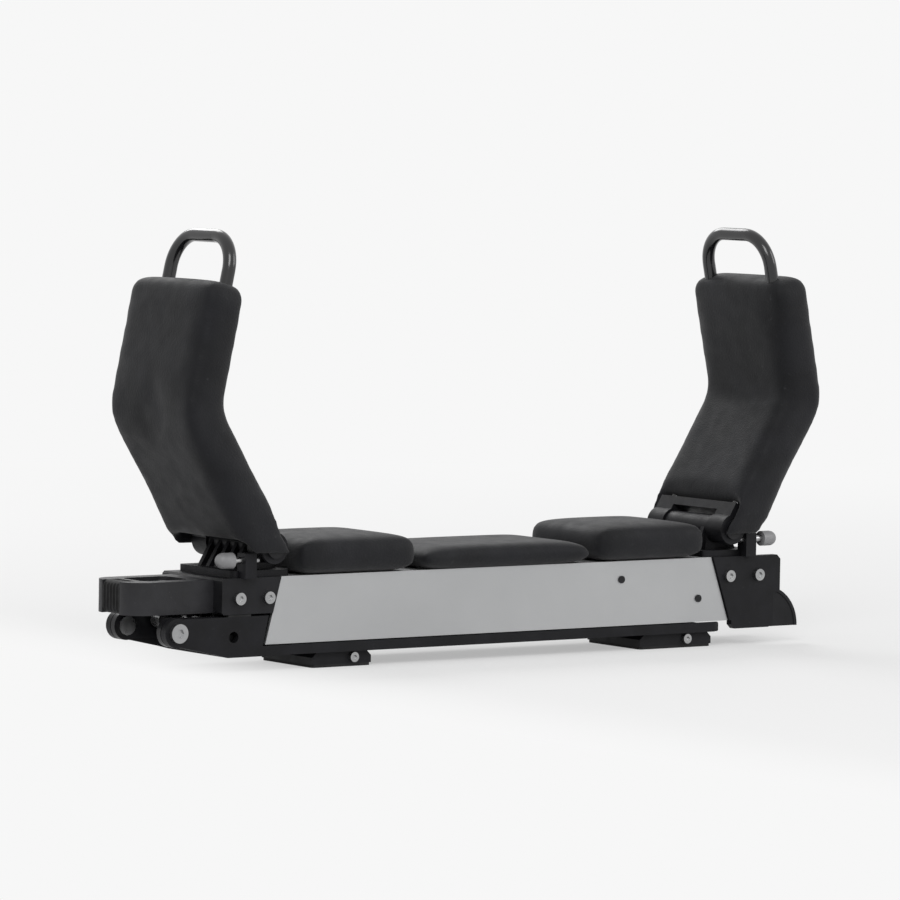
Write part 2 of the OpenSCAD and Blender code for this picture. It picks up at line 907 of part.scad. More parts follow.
module heel_bracket() {
    color(black)
        difference() {
            union() {
                both_sides() {
                    slab(cheek_in, cheek_out)
                        heel_cheek();
                    slab(web_in, web_out)
                        difference() {
                            union() {
                                strap(link_end, [heel_bridge_x - 8, top_z - 15], link_pin_r + 4, 9);
                                translate([heel_bridge_x - 22, plug_z])
                                    square([22, top_z - channel_wall - seat_gap - plug_z]);
                            }
                            translate([heel_bridge_x - 40, top_z - channel_wall - seat_gap])
                                square([80, 20]);
                            translate(link_end)
                                circle(link_pin_r + pin_gap);
                        }
                    translate([heel_bridge_x - 60, cheek_in - 3, plug_z])
                        cube([60, channel_in - seat_gap - cheek_in + 3,
                            top_z - channel_wall - seat_gap - plug_z]);
                }
                translate([heel_bridge_x - 60, -channel_in + seat_gap,
                    top_z - channel_wall - seat_gap - heel_plate_t])
                    cube([60, 2 * (channel_in - seat_gap), heel_plate_t]);
            }
            both_sides() {
                y_bar(heel_p, pin_r + pin_gap, arm_out, cheek_out - 2);
                for (x = heel_bolt_x)
                    y_bar([x, bolt_z], bolt_shank_r + pin_gap, cheek_in + seat_gap / 2,
                        cheek_out + cut);
            }
        }
}

module heel_bolts() {
    color(bright)
        both_sides()
            for (x = heel_bolt_x)
                side_bolt([x, bolt_z], cheek_out, cheek_t - seat_gap,
                    bolt_shank_r, bolt_head_r, bolt_head_t);
}

module heel_pivot_pins() {
    color(bright)
        both_sides() {
            y_bar(heel_p, pin_r, arm_in - 1, cheek_out - 2);
            y_bar(heel_p, pin_r + 2.5, arm_in - 3, arm_in - seat_gap);
        }
}

module link_end_pin() {
    color(bright)
        y_bar(link_end, link_pin_r, -web_out, web_out);
}

module lower_pad(x0, x1, h) {
    color(charcoal)
        slab(-pad_w / 2, pad_w / 2)
            difference() {
                soft_rect(x0, top_z - low_pad_r, x1, top_z + h, low_pad_r);
                translate([x0 - cut, top_z - 2 * low_pad_r])
                    square([x1 - x0 + 2 * cut, 2 * low_pad_r]);
            }
}

module outer_lower_pad() {
    lower_pad(hinge_out_x + low_pad_x, hinge_out_x + low_pad_x + low_pad_l, low_pad_h);
}

module inner_lower_pad() {
    lower_pad(hinge_in_x - low_pad_x - low_pad_l, hinge_in_x - low_pad_x, low_pad_h);
}

module middle_pad() {
    lower_pad(hinge_out_x + low_pad_x + low_pad_l + 2, hinge_in_x - low_pad_x - low_pad_l - 2,
        mid_pad_h);
}

// Release trigger and latch

module release_trigger() {
    half = handle_w / 2 - handle_bar_t - 3;
    blade_half = 2.5;
    color(charcoal) {
        translate([finger_x, 0, handle_z + 3])
            linear_extrude(handle_h - 6)
                soft_rect(0, -half, finger_t, half, 2.5);
        translate([0, 0, crank_p.y])
            x_bar(trigger_rod_r, finger_x + finger_t / 2, crank_p.x - 5);
        slab(-blade_half, blade_half)
            difference() {
                translate(crank_p - [7, 5])
                    square([12, 10]);
                strap(crank_p - [0, 2], crank_p + [0, 2], crank_pin_r + seat_gap,
                    crank_pin_r + seat_gap);
            }
    }
}

module latch_shaft() {
    color(bright) {
        y_bar(latch_p, latch_r, -claw_slot[1] - 6, claw_slot[1] + 6);
        y_bar(crank_p, crank_pin_r, -6, 6);
    }
}

module claw_shape() {
    toe_z = striker_p.y - striker_r - 0.5;
    stem_x = claw_toe - 1.5;
    strap(latch_p, [stem_x - claw_stem_w / 2, toe_z + 2], latch_r + 2.5, claw_stem_w / 2);
    polygon([[stem_x - claw_stem_w, toe_z + 2], [stem_x - claw_stem_w + 2, toe_z - claw_drop],
        [claw_toe - 1, toe_z - claw_drop + 1], [claw_toe, toe_z], [stem_x, toe_z + 2]]);
}

module latch_claws() {
    mid = (claw_slot[0] + claw_slot[1]) / 2;
    crank_y = [3, 6];
    color(charcoal)
        both_sides()
            difference() {
                union() {
                    slab(mid - claw_t / 2, mid + claw_t / 2)
                        claw_shape();
                    slab(crank_y[0], crank_y[1])
                        strap(latch_p, crank_p, latch_r + 2.5, crank_pin_r + 2.5);
                    y_bar(latch_p, latch_r + 2, crank_y[0] + 1, mid);
                }
                y_bar(latch_p, latch_r + pin_gap, crank_y[0] - cut, mid + claw_t);
                y_bar(crank_p, crank_pin_r + pin_gap, crank_y[0] - cut, crank_y[1] + cut);
            }
}

// Hinge brackets, padded arms and locks, in the hinge's own frame

module at_outer_hinge() {
    translate([hinge_out_x, 0, hinge_z])
        children();
}

module at_inner_hinge() {
    translate([hinge_in_x, 0, hinge_z])
        mirror([1, 0, 0])
            children();
}

module hinge_bracket() {
    foot_z = -hinge_rise + bracket_plate_t;
    rib_t = 5;
    color(black)
        difference() {
            union() {
                translate([0, 0, -hinge_rise])
                    linear_extrude(bracket_plate_t)
                        soft_rect(bracket_x[0], -bracket_half, bracket_x[1], bracket_half, 5);
                slab(-barrel_half, barrel_half) {
                    circle(barrel_r);
                    polygon([[-15, foot_z - cut], [14, foot_z - cut], [barrel_r * 0.8, 0],
                        [-barrel_r * 0.8, 0]]);
                }
                for (y = [-2, -1, 0, 1, 2])
                    slab(y * 13 - rib_t / 2, y * 13 + rib_t / 2)
                        polygon([[-26, foot_z - cut], [20, foot_z - cut], [barrel_r - 1, 4],
                            [-barrel_r + 1, 4]]);
                translate([post_x[0], lock_y - post_half, -hinge_rise])
                    cube([post_x[1] - post_x[0], 2 * post_half, hinge_rise - lock_drop + 6]);
            }
            y_bar([0, 0], pin_r + pin_gap, -barrel_half - cut, barrel_half + cut);
            translate([0, lock_y, -lock_drop])
                x_bar(lock_r + pin_gap, post_x[0] - cut, post_x[1] + cut);
        }
}

module hinge_pin() {
    color(bright)
        y_bar([0, 0], pin_r, -knuckle_out, knuckle_out);
    color(black)
        both_sides()
            y_bar([0, 0], pin_r + 3, knuckle_out, knuckle_out + 2.5);
}

module arm_hub() {
    color(black)
        difference() {
            union() {
                both_sides()
                    slab(knuckle_in, knuckle_out)
                        circle(knuckle_r);
                slab(-knuckle_out, knuckle_out)
                    polygon([(knuckle_r + 1) * lower_dir - hub_half_t * lower_in,
                        hub_end * lower_dir - hub_half_t * lower_in,
                        hub_end * lower_dir + hub_half_t * lower_in,
                        (knuckle_r + 1) * lower_dir + hub_half_t * lower_in]);
                both_sides()
                    slab(knuckle_in, knuckle_out)
                        polygon([-hub_half_t * lower_in, hub_end * lower_dir - hub_half_t * lower_in,
                            hub_end * lower_dir + hub_half_t * lower_in, hub_half_t * lower_in]);
            }
            y_bar([0, 0], pin_r + pin_gap, -knuckle_out - cut, knuckle_out + cut);
            translate([0, lock_y, -lock_drop])
                x_bar(lock_r + seat_gap, -knuckle_r - cut, lock_notch);
            both_sides()
                leg_line(rod_r + pin_gap, socket_start, hub_end + cut);
        }
}

// A straight bar on the arm's lower line, between two distances from the hinge
module leg_line(r, s0, s1) {
    translate([0, leg_pitch / 2, 0])
        rotate([0, -lower_lean, 0])
            translate([0, 0, s0])
                cylinder(r = r, h = s1 - s0);
}

// A straight bar on the arm's upper line, between two distances from the knee
module upper_line(r, s0, s1) {
    translate([knee.x, leg_pitch / 2, knee.y])
        rotate([0, upper_lean, 0])
            translate([0, 0, s0])
                cylinder(r = r, h = s1 - s0);
}

module leg(r, top) {
    leg_line(r, socket_start + seat_gap, lower_arm_l);
    translate([knee.x, leg_pitch / 2, knee.y])
        sphere(r);
    upper_line(r, 0, top);
}

module arm_loop() {
    bar_half = leg_pitch / 2 - loop_bend_r;
    bend_thin = 0.05;
    color(black) {
        both_sides()
            leg(rod_r, upper_arm_l - loop_bend_r);
        translate([knee.x, 0, knee.y])
            rotate([0, upper_lean, 0]) {
                translate([0, bar_half, upper_arm_l])
                    rotate([90, 0, 0])
                        cylinder(r = rod_r, h = 2 * bar_half);
                both_sides()
                    translate([0, bar_half, upper_arm_l - loop_bend_r])
                        rotate([0, -90, 0])
                            rotate_extrude(angle = 90)
                                translate([loop_bend_r, 0])
                                    circle(rod_r - bend_thin);
            }
    }
}

// The bent outline of an arm pad, with a round outer knee
module arm_pad_outline() {
    a0 = 180 + lower_lean;
    a1 = 180 - upper_lean;
    centre = knee - ((pad_outside - pad_knee_r) / cos(half_bend)) * knee_in;
    polygon(concat(
        [pad_start * lower_dir + pad_inside * lower_in,
            knee + pad_inside / cos(half_bend) * knee_in,
            knee + pad_top * upper_dir + pad_inside * upper_in,
            knee + pad_top * upper_dir - pad_outside * upper_in],
        [for (i = [0 : 6]) let (a = a1 + (a0 - a1) * i / 6)
            centre + pad_knee_r * [cos(a), sin(a)]],
        [pad_start * lower_dir - pad_outside * lower_in]));
}

module arm_pad() {
    color(charcoal)
        difference() {
            slab(-pad_w / 2, pad_w / 2)
                arm_pad_outline();
            both_sides() {
                leg_line(rod_r + seat_gap, pad_start - cut, lower_arm_l);
                translate([knee.x, leg_pitch / 2, knee.y])
                    sphere(rod_r + seat_gap);
                upper_line(rod_r + seat_gap, 0, pad_top + cut);
            }
        }
}

module lock_plunger() {
    color(bright)
        translate([0, lock_y, -lock_drop])
            x_bar(lock_r, knob_x - knob_l / 2, lock_tip);
}

module lock_knob() {
    color(charcoal)
        translate([0, lock_y, -lock_drop])
            difference() {
                union() {
                    x_bar(knob_r, knob_x - knob_l + 4, knob_x);
                    translate([knob_x - knob_l + 4, 0, 0])
                        sphere(knob_r);
                }
                x_bar(lock_r + pin_gap, knob_x - knob_l / 2 - 0.5, knob_x + cut);
                translate([knob_x - knob_l + 2, 0, 0])
                    cylinder(r = 2.2, h = 3 * knob_r, center = true);
            }
}

module outer_hinge_bracket() {
    at_outer_hinge()
        hinge_bracket();
}

module inner_hinge_bracket() {
    at_inner_hinge()
        hinge_bracket();
}

module outer_hinge_pin() {
    at_outer_hinge()
        hinge_pin();
}

module inner_hinge_pin() {
    at_inner_hinge()
        hinge_pin();
}

module outer_arm_hub() {
    at_outer_hinge()
        arm_hub();
}

module inner_arm_hub() {
    at_inner_hinge()
        arm_hub();
}

module outer_arm_loop() {
    at_outer_hinge()
        arm_loop();
}

module inner_arm_loop() {
    at_inner_hinge()
        arm_loop();
}

module outer_arm_pad() {
    at_outer_hinge()
        arm_pad();
}

module inner_arm_pad() {
    at_inner_hinge()
        arm_pad();
}

module outer_lock_plunger() {
    at_outer_hinge()
        lock_plunger();
}

module inner_lock_plunger() {
    at_inner_hinge()
        lock_plunger();
}

module outer_lock_knob() {
    at_outer_hinge()
        lock_knob();
}

module inner_lock_knob() {
    at_inner_hinge()
        lock_knob();
}

base_rail();
pivot_housing();
outer_bar_foot();
inner_bar_foot();
foot_soles();
foot_screws();
rail_screws();
housing_screws();
rail_end_cap();
rest_buffers();
striker_pins();
main_pivot_pins();
link_base_pin();
lift_arm_front();
lift_arm_rear();
main_bushes();
heel_bushes();
strut_studs();
level_link();
link_bushes();
strut_cylinder_front();
strut_cylinder_rear();
strut_rod_front();
strut_rod_rear();
cradle_channel();
outer_end_block();
handle_frame();
handle_grip();
end_block_bolts();
heel_bracket();
heel_bolts();
heel_pivot_pins();
link_end_pin();
panel_rivets();
outer_hinge_bracket();
inner_hinge_bracket();
outer_hinge_pin();
inner_hinge_pin();
outer_lower_pad();
middle_pad();
inner_lower_pad();
release_trigger();
latch_shaft();
latch_claws();
outer_arm_hub();
outer_arm_loop();
outer_arm_pad();
inner_arm_hub();
inner_arm_loop();
inner_arm_pad();
outer_lock_plunger();
outer_lock_knob();
inner_lock_plunger();
inner_lock_knob();
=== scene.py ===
"""Dresses the lift-assist kayak carrier: foam, castings, rods, panel, fasteners, light and camera."""

import logging
import math
from dataclasses import dataclass, field
from enum import Enum
from typing import Callable, Iterable, Sequence

import bmesh
import bpy
from mathutils import Matrix, Quaternion, Vector


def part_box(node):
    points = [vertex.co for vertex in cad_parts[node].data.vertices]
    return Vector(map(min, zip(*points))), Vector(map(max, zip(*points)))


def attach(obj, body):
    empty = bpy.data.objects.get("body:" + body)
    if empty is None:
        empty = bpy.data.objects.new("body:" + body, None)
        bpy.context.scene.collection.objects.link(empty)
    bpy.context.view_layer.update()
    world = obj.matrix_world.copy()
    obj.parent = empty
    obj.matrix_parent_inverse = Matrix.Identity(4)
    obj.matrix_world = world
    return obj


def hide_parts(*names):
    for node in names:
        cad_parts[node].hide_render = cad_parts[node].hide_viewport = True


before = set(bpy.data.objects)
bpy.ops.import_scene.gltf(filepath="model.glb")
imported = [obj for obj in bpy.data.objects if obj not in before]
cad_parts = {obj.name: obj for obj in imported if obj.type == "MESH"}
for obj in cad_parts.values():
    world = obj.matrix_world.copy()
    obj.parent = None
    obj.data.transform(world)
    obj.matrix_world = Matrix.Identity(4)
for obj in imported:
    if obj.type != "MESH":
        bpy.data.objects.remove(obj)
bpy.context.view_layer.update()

LOG = logging.getLogger("kayak_carrier")

Tree = bpy.types.NodeTree
Socket = bpy.types.NodeSocket
Piece = bpy.types.Object
BMesh = bmesh.types.BMesh
Edge = bmesh.types.BMEdge
Face = bmesh.types.BMFace
Vert = bmesh.types.BMVert
Pair = tuple[float, float]
Triple = tuple[float, float, float]

MM = 0.001
Y, Z = 1, 2  # their places in a point's coordinates
Y_AXIS = Vector((0.0, 1.0, 0.0))
WHITE = (1.0, 1.0, 1.0, 1.0)


class Side(Enum):
    """The two ends of the cradle, by the names that their arms bear."""

    OUTER = "outer"
    INNER = "inner"


class Grain(Enum):
    """The kinds of fine relief that a finish may carry."""

    NOISE = "noise"
    CELLS = "cells"
    BRUSHED = "brushed"


class Curve(Enum):
    """The ways in which a value may be mapped from one range to another."""

    STRAIGHT = "LINEAR"
    EASED = "SMOOTHSTEP"


# Finishes

COAT_ROUGHNESS = 0.12
SHEEN_ROUGHNESS = 0.55

# The bands of a noise's values over which a colour drifts, a scuff shows and the roughness varies
DRIFT_BAND: Pair = (0.35, 0.65)
SCUFF_BAND: Pair = (0.66, 0.80)
SMEAR_BAND: Pair = (0.30, 0.70)

# How much finer than the colour's drift the scuffs and the smears are
SCUFF_FINER = 9.0
SMEAR_FINER = 3.0

# The grey that worn patches tend to, and how a brushed grain is stretched along the panel
WORN_GREY = 0.5
BRUSH_STRETCH: Triple = (0.012, 1.0, 1.0)


@dataclass(frozen=True)
class Finish:
    """One finish of the carrier, built as a node material on Object coordinates.

    Attributes:
        name: The material's name.
        slot: A material slot's name; it is not used.
        dark: The darker of the two colours that the surface drifts between.
        light: The lighter of the two colours.
        drift: How many times a metre the colour drifts.
        rough: The lowest and highest roughness.
        grain_scale: How many grains there are to a metre.
        grain_depth: The relief's depth in metres.
        grain: The kind of fine relief.
        metallic: The shader's metallic value.
        coat: The weight of the clear coat.
        sheen: The weight of the sheen.
        scuff: How much lighter the worn patches are, from 0 to 1.
        specular: The shader's specular level, lower on matt skins.
    """

    name: str
    slot: str
    dark: Triple
    light: Triple
    drift: float
    rough: Pair
    grain_scale: float
    grain_depth: float
    grain: Grain = Grain.NOISE
    metallic: float = 0.0
    coat: float = 0.0
    sheen: float = 0.0
    scuff: float = 0.0
    specular: float = 0.5

    def build(self) -> bpy.types.Material:
        """Make the material, or return it if it has been made.

        Returns:
            The finished material.
        """
        made = bpy.data.materials.get(self.name)
        if made is not None:
            return made
        mat = bpy.data.materials.new(self.name)
        mat.use_nodes = True
        mat.diffuse_color = (*self.light, 1.0)
        tree = mat.node_tree
        shader = tree.nodes["Principled BSDF"]
        shader.inputs["Metallic"].default_value = self.metallic
        shader.inputs["Specular IOR Level"].default_value = self.specular
        shader.inputs["Coat Weight"].default_value = self.coat
        shader.inputs["Coat Roughness"].default_value = COAT_ROUGHNESS
        shader.inputs["Sheen Weight"].default_value = self.sheen
        shader.inputs["Sheen Roughness"].default_value = SHEEN_ROUGHNESS
        coords = tree.nodes.new("ShaderNodeTexCoord").outputs["Object"]
        tree.links.new(self._colour(tree, coords), shader.inputs["Base Color"])
        tree.links.new(self._roughness(tree, coords), shader.inputs["Roughness"])
        tree.links.new(self._relief(tree, coords), shader.inputs["Normal"])
        return mat

    def _colour(self, tree: Tree, coords: Socket) -> Socket:
        """Drift the colour between its two values, with paler scuffed patches.

        Args:
            tree: The material's node tree.
            coords: The Object coordinates.

        Returns:
            The colour.
        """
        cloud = noise(tree, coords, self.drift, detail=5.0)
        mixed = mix_colour(tree, spread(tree, cloud, DRIFT_BAND), (*self.dark, 1.0), (*self.light, 1.0))
        if self.scuff > 0.0:
            rub = noise(tree, coords, self.drift * SCUFF_FINER, detail=8.0)
            worn = tuple(c + (WORN_GREY - c) * self.scuff for c in self.light)
            mixed = mix_colour(tree, spread(tree, rub, SCUFF_BAND), mixed, (*worn, 1.0))
        return mixed

    def _roughness(self, tree: Tree, coords: Socket) -> Socket:
        """Vary the roughness between its two values."""
        smear = noise(tree, coords, self.drift * SMEAR_FINER, detail=6.0)
        return spread(tree, smear, SMEAR_BAND, self.rough)

    def _relief(self, tree: Tree, coords: Socket) -> Socket:
        """Give the surface its fine relief.

        Args:
            tree: The material's node tree.
            coords: The Object coordinates.

        Returns:
            The relief's normal.
        """
        if self.grain is Grain.CELLS:
            cells = tree.nodes.new("ShaderNodeTexVoronoi")
            cells.inputs["Scale"].default_value = self.grain_scale
            tree.links.new(coords, cells.inputs["Vector"])
            height = cells.outputs["Distance"]
        elif self.grain is Grain.BRUSHED:
            stretch = tree.nodes.new("ShaderNodeMapping")
            stretch.inputs["Scale"].default_value = BRUSH_STRETCH
            tree.links.new(coords, stretch.inputs["Vector"])
            height = noise(tree, stretch.outputs["Vector"], self.grain_scale, detail=4.0)
        else:
            height = noise(tree, coords, self.grain_scale, detail=3.0)
        bump = tree.nodes.new("ShaderNodeBump")
        bump.inputs["Strength"].default_value = 1.0
        bump.inputs["Distance"].default_value = self.grain_depth
        tree.links.new(height, bump.inputs["Height"])
        return bump.outputs["Normal"]


def noise(tree: Tree, coords: Socket, scale: float, detail: float) -> Socket:
    """Add a noise texture.

    Args:
        tree: The material's node tree.
        coords: The coordinates that the texture reads.
        scale: How many features there are to a metre.
        detail: The number of finer octaves.

    Returns:
        The texture's grey output.
    """
    node = tree.nodes.new("ShaderNodeTexNoise")
    node.inputs["Scale"].default_value = scale
    node.inputs["Detail"].default_value = detail
    tree.links.new(coords, node.inputs["Vector"])
    return node.outputs["Fac"]


def spread(tree: Tree, value: Socket, source: Pair, target: Pair = (0.0, 1.0),
           curve: Curve = Curve.STRAIGHT) -> Socket:
    """Map a value from one range to another, and hold it at the ends.

    Args:
        tree: The node tree.
        value: The value.
        source: The range that it is mapped from.
        target: The range that it is mapped to.
        curve: The way in which it is mapped.

    Returns:
        The mapped value.
    """
    node = tree.nodes.new("ShaderNodeMapRange")
    node.interpolation_type = curve.value
    for name, number in zip(("From Min", "From Max", "To Min", "To Max"), (*source, *target)):
        node.inputs[name].default_value = number
    tree.links.new(value, node.inputs["Value"])
    return node.outputs["Result"]


def maths(tree: Tree, operation: str, first: Socket, second: Socket) -> Socket:
    """Combine two values.

    Args:
        tree: The node tree.
        operation: What the Math node does.
        first: The first value.
        second: The second value.

    Returns:
        The combined value.
    """
    node = tree.nodes.new("ShaderNodeMath")
    node.operation = operation
    tree.links.new(first, node.inputs[0])
    tree.links.new(second, node.inputs[1])
    return node.outputs[0]


def mix_colour(tree: Tree, factor: Socket, first: Socket | Sequence[float],
               second: Socket | Sequence[float]) -> Socket:
    """Mix two colours.

    Args:
        tree: The material's node tree.
        factor: The share of the second colour.
        first: A colour or a socket.
        second: A colour or a socket.

    Returns:
        The mixed colour.
    """
    node = tree.nodes.new("ShaderNodeMix")
    node.data_type = "RGBA"
    tree.links.new(factor, node.inputs[0])
    for socket, value in ((node.inputs[6], first), (node.inputs[7], second)):
        if isinstance(value, Socket):
            tree.links.new(value, socket)
        else:
            socket.default_value = value
    return node.outputs[2]


FOAM = Finish("black_foam_skin", "foam", (0.0050, 0.0052, 0.0064), (0.0090, 0.0093, 0.0116), 22.0,
              rough=(0.55, 0.70), grain=Grain.CELLS, grain_scale=620.0, grain_depth=0.00016, sheen=0.10,
              scuff=0.03, specular=0.16)
CASTING = Finish("black_powder_coat", "black_cast", (0.006, 0.006, 0.007), (0.010, 0.010, 0.012), 40.0,
                 rough=(0.42, 0.56), grain_scale=1500.0, grain_depth=0.00010, scuff=0.03, specular=0.17)
PANEL = Finish("satin_silver_panel", "silver_panel", (0.405, 0.410, 0.415), (0.435, 0.440, 0.445), 9.0,
               metallic=0.7, rough=(0.37, 0.41), grain=Grain.BRUSHED, grain_scale=1800.0,
               grain_depth=0.00002)
STEEL_BLACK = Finish("satin_black_steel", "black_steel", (0.006, 0.006, 0.007), (0.010, 0.010, 0.012),
                     35.0, rough=(0.32, 0.45), grain_scale=900.0, grain_depth=0.00003, scuff=0.05,
                     specular=0.25)
ROD = Finish("gloss_black_rod", "gloss_rod", (0.006, 0.006, 0.007), (0.010, 0.010, 0.011), 25.0,
             rough=(0.14, 0.22), grain_scale=260.0, grain_depth=0.00002, coat=0.4, specular=0.4)
BRIGHT = Finish("bright_zinc", "bright_steel", (0.34, 0.345, 0.35), (0.42, 0.42, 0.42), 40.0,
                metallic=1.0, rough=(0.26, 0.34), grain_scale=1400.0, grain_depth=0.00001)
PLASTIC = Finish("black_moulded_plastic", "black_plastic", (0.007, 0.007, 0.008), (0.012, 0.012, 0.014),
                 45.0, rough=(0.40, 0.52), grain=Grain.CELLS, grain_scale=1300.0, grain_depth=0.00006,
                 scuff=0.03, specular=0.19)
GREY_PLASTIC = Finish("dark_grey_plastic", "grey_plastic", (0.014, 0.014, 0.016), (0.023, 0.023, 0.026),
                      45.0, rough=(0.42, 0.55), grain=Grain.CELLS, grain_scale=1100.0,
                      grain_depth=0.00006, scuff=0.05, specular=0.30)
PALE_PLASTIC = Finish("pale_grey_plastic", "grey_plastic", (0.20, 0.20, 0.205), (0.26, 0.26, 0.265), 45.0,
                      rough=(0.40, 0.50), grain=Grain.CELLS, grain_scale=1100.0, grain_depth=0.00005)
RUBBER = Finish("matt_rubber", "rubber", (0.009, 0.009, 0.009), (0.017, 0.017, 0.018), 60.0,
                rough=(0.66, 0.82), grain_scale=1000.0, grain_depth=0.00012, specular=0.25)

NODE_FINISHES: dict[Finish, tuple[str, ...]] = {
    CASTING: ("base_rail", "pivot_housing", "outer_bar_foot", "inner_bar_foot", "heel_bracket",
              "outer_hinge_bracket", "inner_hinge_bracket", "outer_arm_hub", "inner_arm_hub"),
    PANEL: ("cradle_channel",),
    STEEL_BLACK: ("lift_arm_front", "lift_arm_rear", "level_link", "strut_cylinder_front",
                  "strut_cylinder_rear", "panel_rivets", "outer_hinge_pin", "inner_hinge_pin",
                  "latch_claws"),
    ROD: ("outer_arm_loop", "inner_arm_loop"),
    BRIGHT: ("foot_screws", "rail_screws", "housing_screws", "striker_pins", "main_pivot_pins",
             "link_base_pin", "strut_studs", "strut_rod_front", "strut_rod_rear", "end_block_bolts",
             "heel_bolts", "heel_pivot_pins", "link_end_pin", "latch_shaft", "outer_lock_plunger",
             "inner_lock_plunger"),
    PLASTIC: ("outer_end_block",),
    GREY_PLASTIC: ("main_bushes", "heel_bushes", "link_bushes", "handle_frame", "release_trigger"),
    PALE_PLASTIC: ("outer_lock_knob", "inner_lock_knob"),
    RUBBER: ("foot_soles", "rail_end_cap", "rest_buffers", "handle_grip"),
    FOAM: ("outer_arm_pad", "inner_arm_pad", "outer_lower_pad", "middle_pad", "inner_lower_pad"),
}


# Building helpers

SMOOTH_ANGLE = math.radians(40.0)
WELD = 1e-6


def placed(name: str, data: bpy.types.ID) -> Piece:
    """Make an object of some data and link it to the scene.

    Args:
        name: The object's name.
        data: Its mesh, lamp or camera.

    Returns:
        The object.
    """
    made = bpy.data.objects.new(name, data)
    bpy.context.scene.collection.objects.link(made)
    return made


def mesh_of(name: str, bm: BMesh) -> bpy.types.Mesh:
    """Turn a bmesh into a named mesh and free it.

    Args:
        name: The mesh's name.
        bm: The bmesh.

    Returns:
        The mesh.
    """
    mesh = bpy.data.meshes.new(name)
    bm.to_mesh(mesh)
    bm.free()
    return mesh


def new_piece(name: str, bm: BMesh, finish: Finish, body: str) -> Piece:
    """Turn a finished bmesh into a piece that rides on a body.

    Args:
        name: The piece's name.
        bm: The mesh, in metres, in the shared frame.
        finish: The piece's finish.
        body: The body that it rides on.

    Returns:
        The new object.
    """
    bmesh.ops.remove_doubles(bm, verts=bm.verts, dist=WELD)
    bmesh.ops.recalc_face_normals(bm, faces=bm.faces)
    for face in bm.faces:
        face.smooth = True
    for edge in bm.edges:
        edge.smooth = len(edge.link_faces) == 2 and edge.calc_face_angle(0.0) < SMOOTH_ANGLE
    mesh = mesh_of(name, bm)
    piece = placed(name, mesh)
    mesh.materials.append(finish.build())
    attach(piece, body)
    LOG.info("%s: %d faces, on %s", name, len(mesh.polygons), body)
    return piece


def reach(edge: Edge, axis: int) -> float:
    """How far an edge reaches along an axis."""
    return abs(edge.verts[0].co[axis] - edge.verts[1].co[axis])


def soft_bevel(bm: BMesh, edges: Iterable[Edge], width: float, segments: int) -> None:
    """Round the given edges.

    Args:
        bm: The mesh.
        edges: The edges to round.
        width: The bevel's width in metres.
        segments: The number of segments.
    """
    bmesh.ops.bevel(bm, geom=list(edges), offset=width, offset_type="OFFSET", segments=segments,
                    profile=0.5, affect="EDGES", material=-1, clamp_overlap=True)


def trim(bm: BMesh, place: Sequence[float], away: Sequence[float]) -> None:
    """Cut off what lies past a plane, and close the cut.

    Args:
        bm: The mesh.
        place: A point on the plane.
        away: The direction towards what is cut off.
    """
    cut = bmesh.ops.bisect_plane(bm, geom=bm.verts[:] + bm.edges[:] + bm.faces[:], plane_co=place,
                                 plane_no=away, clear_outer=True)
    bmesh.ops.contextual_create(bm, geom=[g for g in cut["geom_cut"] if isinstance(g, Edge)])


def box_mesh(low: Sequence[float], high: Sequence[float]) -> BMesh:
    """A box between two corners, in metres.

    Args:
        low: Its lowest corner.
        high: Its highest corner.

    Returns:
        The box.
    """
    bm = bmesh.new()
    size = Vector(high) - Vector(low)
    middle = (Vector(high) + Vector(low)) / 2
    bmesh.ops.create_cube(bm, size=1.0, matrix=Matrix.Translation(middle) @ Matrix.Diagonal((*size, 1.0)))
    return bm


def join(parts: Sequence[BMesh]) -> BMesh:
    """Join several meshes into the first of them.

    Args:
        parts: The meshes, of which all but the first are freed.

    Returns:
        The first mesh, holding all of them.
    """
    whole = parts[0]
    for part in parts[1:]:
        carrier = mesh_of("carrier", part)
        whole.from_mesh(carrier)
        bpy.data.meshes.remove(carrier)
    return whole


# Foam

BEND_STEPS = 8
BEND_WELD = 1e-5
CORNER_SEGMENTS = 6
EDGE_SEGMENTS = 3
FOOT_SEGMENTS = 2
SHARP_ANGLE = math.radians(60)
TINY = 1e-9

# Where each arm's hinge is, as X and Z
ARM_HINGES: dict[Side, Pair] = {
    Side.OUTER: (-275.0 * MM, 110.0 * MM),
    Side.INNER: (243.0 * MM, 110.0 * MM),
}


